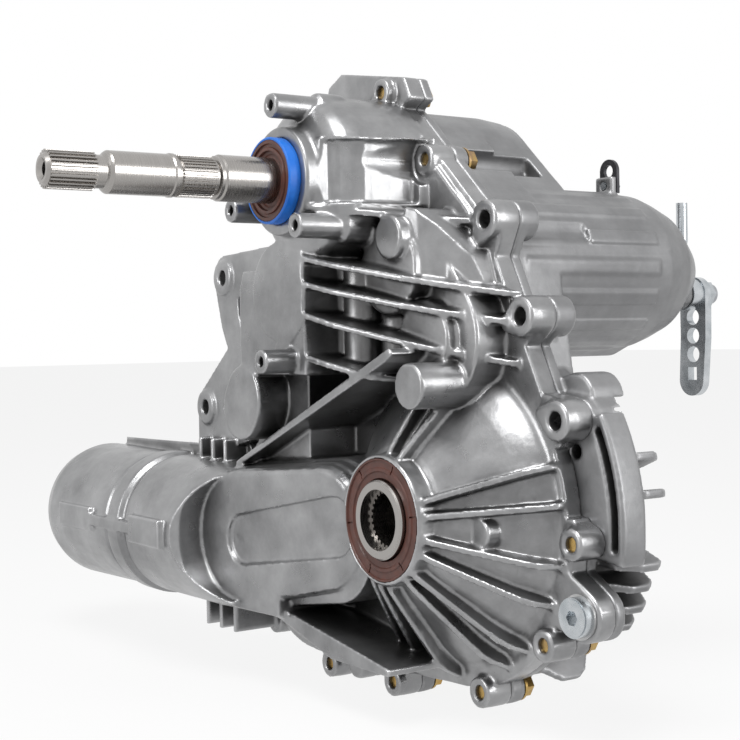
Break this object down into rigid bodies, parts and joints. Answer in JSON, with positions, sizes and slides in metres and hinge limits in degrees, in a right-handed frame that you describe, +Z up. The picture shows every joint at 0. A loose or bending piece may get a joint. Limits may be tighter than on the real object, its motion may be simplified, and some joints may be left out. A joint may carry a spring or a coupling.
{
  "type": "vehicle transmission",
  "caption": "Off-road vehicle gearcase in two cast halves with a splined input shaft, splined output hubs, a long front drive tube and a perforated shift lever",
  "frame": {"origin": "on the output axis, in the mouth of the left output hub", "axes": "+X forward along the front drive tube, +Y left along the input shaft, +Z up"},
  "size_m": [0.583, 0.4695, 0.4075],
  "materials": {
    "cast_left": "bare pressure-cast aluminium, slightly grained",
    "cast_right": "bare cast aluminium, duller than the left half",
    "ground_steel": "ground and turned steel",
    "gear_steel": "hardened gear steel",
    "bearing_steel": "bearing steel",
    "seal_rubber": "brown moulded rubber",
    "seal_black": "black moulded rubber",
    "seal_band_blue": "bright blue sealing coat",
    "fork_bronze": "cast bronze",
    "zinc_plate": "bright zinc plate",
    "dark_plate": "dark phosphated sheet",
    "plain_washer": "plain washer",
    "yellow_zinc": "yellow zinc chromate"
  },
  "bodies": {
    "case": {"left_case": "cast_left", "right_case": "cast_right", "input_seal": "seal_rubber", "input_seal_band": "seal_band_blue", "input_bearings": "bearing_steel", "idler_bearings": "bearing_steel", "main_bearings": "bearing_steel", "lay_bearings": "bearing_steel", "hub_bearings": "bearing_steel", "left_hub_seal": "seal_rubber", "right_hub_seal": "seal_rubber", "transfer_bearings": "bearing_steel", "front_bearings": "bearing_steel", "front_seal": "seal_black", "cable_bracket": "zinc_plate", "harness_tab": "dark_plate", "vent_pipe": "zinc_plate", "drain_plug": "zinc_plate", "plug_washer": "plain_washer", "case_bolts": "yellow_zinc", "bracket_screws": "zinc_plate", "dowels": "ground_steel"},
    "input": {"input_shaft": "ground_steel"},
    "idler": {"idler_gear": "gear_steel"},
    "main": {"main_shaft": "gear_steel"},
    "forward": {"forward_gear": "gear_steel"},
    "reverse": {"reverse_gear": "gear_steel"},
    "dog": {"shift_dog": "gear_steel"},
    "lay": {"lay_shaft": "gear_steel"},
    "output": {"output_hub": "ground_steel", "ring_gear": "gear_steel"},
    "transfer": {"transfer_shaft": "gear_steel", "bevel_gear": "gear_steel"},
    "front": {"front_shaft": "gear_steel"},
    "fork": {"shift_fork": "fork_bronze", "shift_rail": "ground_steel"},
    "lever": {"shift_shaft": "gear_steel", "shift_lever": "zinc_plate", "lever_nut": "zinc_plate"}
  },
  "joints": [
    {"name": "input_spin", "type": "hinge", "parent": "case", "child": "input", "pos_m": [0.074, 0, 0.204], "axis": [0, 1, 0], "continuous": true},
    {"name": "idler_spin", "type": "hinge", "parent": "case", "child": "idler", "pos_m": [0.09812, 0, 0.13744], "axis": [0, 1, 0], "continuous": true},
    {"name": "reverse_spin", "type": "hinge", "parent": "case", "child": "reverse", "pos_m": [0.016, 0, 0.148], "axis": [0, 1, 0], "continuous": true},
    {"name": "forward_spin", "type": "hinge", "parent": "case", "child": "forward", "pos_m": [0.016, 0, 0.148], "axis": [0, 1, 0], "continuous": true},
    {"name": "output_spin", "type": "hinge", "parent": "case", "child": "output", "pos_m": [0, 0, 0], "axis": [0, 1, 0], "continuous": true},
    {"name": "lay_spin", "type": "hinge", "parent": "case", "child": "lay", "pos_m": [-0.01006, 0, 0.10452], "axis": [0, 1, 0], "continuous": true},
    {"name": "main_spin", "type": "hinge", "parent": "case", "child": "main", "pos_m": [0.016, 0, 0.148], "axis": [0, 1, 0], "continuous": true},
    {"name": "transfer_spin", "type": "hinge", "parent": "case", "child": "transfer", "pos_m": [0.1525, 0, -0.02815], "axis": [0, 1, 0], "continuous": true},
    {"name": "front_spin", "type": "hinge", "parent": "case", "child": "front", "pos_m": [0.3, -0.014, -0.02815], "axis": [1, 0, 0], "continuous": true},
    {"name": "lever_turn", "type": "hinge", "parent": "case", "child": "lever", "pos_m": [0.012, -0.28, 0.133], "axis": [0, 1, 0], "range_deg": [-24, 24]},
    {"name": "fork_slide", "type": "slide", "parent": "case", "child": "fork", "axis": [0, 1, 0], "range_m": [-0.00182, 0.00182]},
    {"name": "dog_slide", "type": "slide", "parent": "main", "child": "dog", "axis": [0, 1, 0], "range_m": [-0.00182, 0.00182]}
  ],
  "couplings": [
    {"joint": "idler_spin", "follows": "input_spin", "ratio": -0.68571},
    {"joint": "reverse_spin", "follows": "input_spin", "ratio": 0.70588},
    {"joint": "forward_spin", "follows": "input_spin", "ratio": -0.89189},
    {"joint": "lay_spin", "follows": "output_spin", "ratio": -4},
    {"joint": "main_spin", "follows": "output_spin", "ratio": 6.9333},
    {"joint": "transfer_spin", "follows": "output_spin", "ratio": -1.1818},
    {"joint": "front_spin", "follows": "output_spin", "ratio": -1.7727},
    {"joint": "fork_slide", "follows": "lever_turn", "m_per_rad": -0.004286},
    {"joint": "dog_slide", "follows": "lever_turn", "m_per_rad": -0.004286}
  ]
}
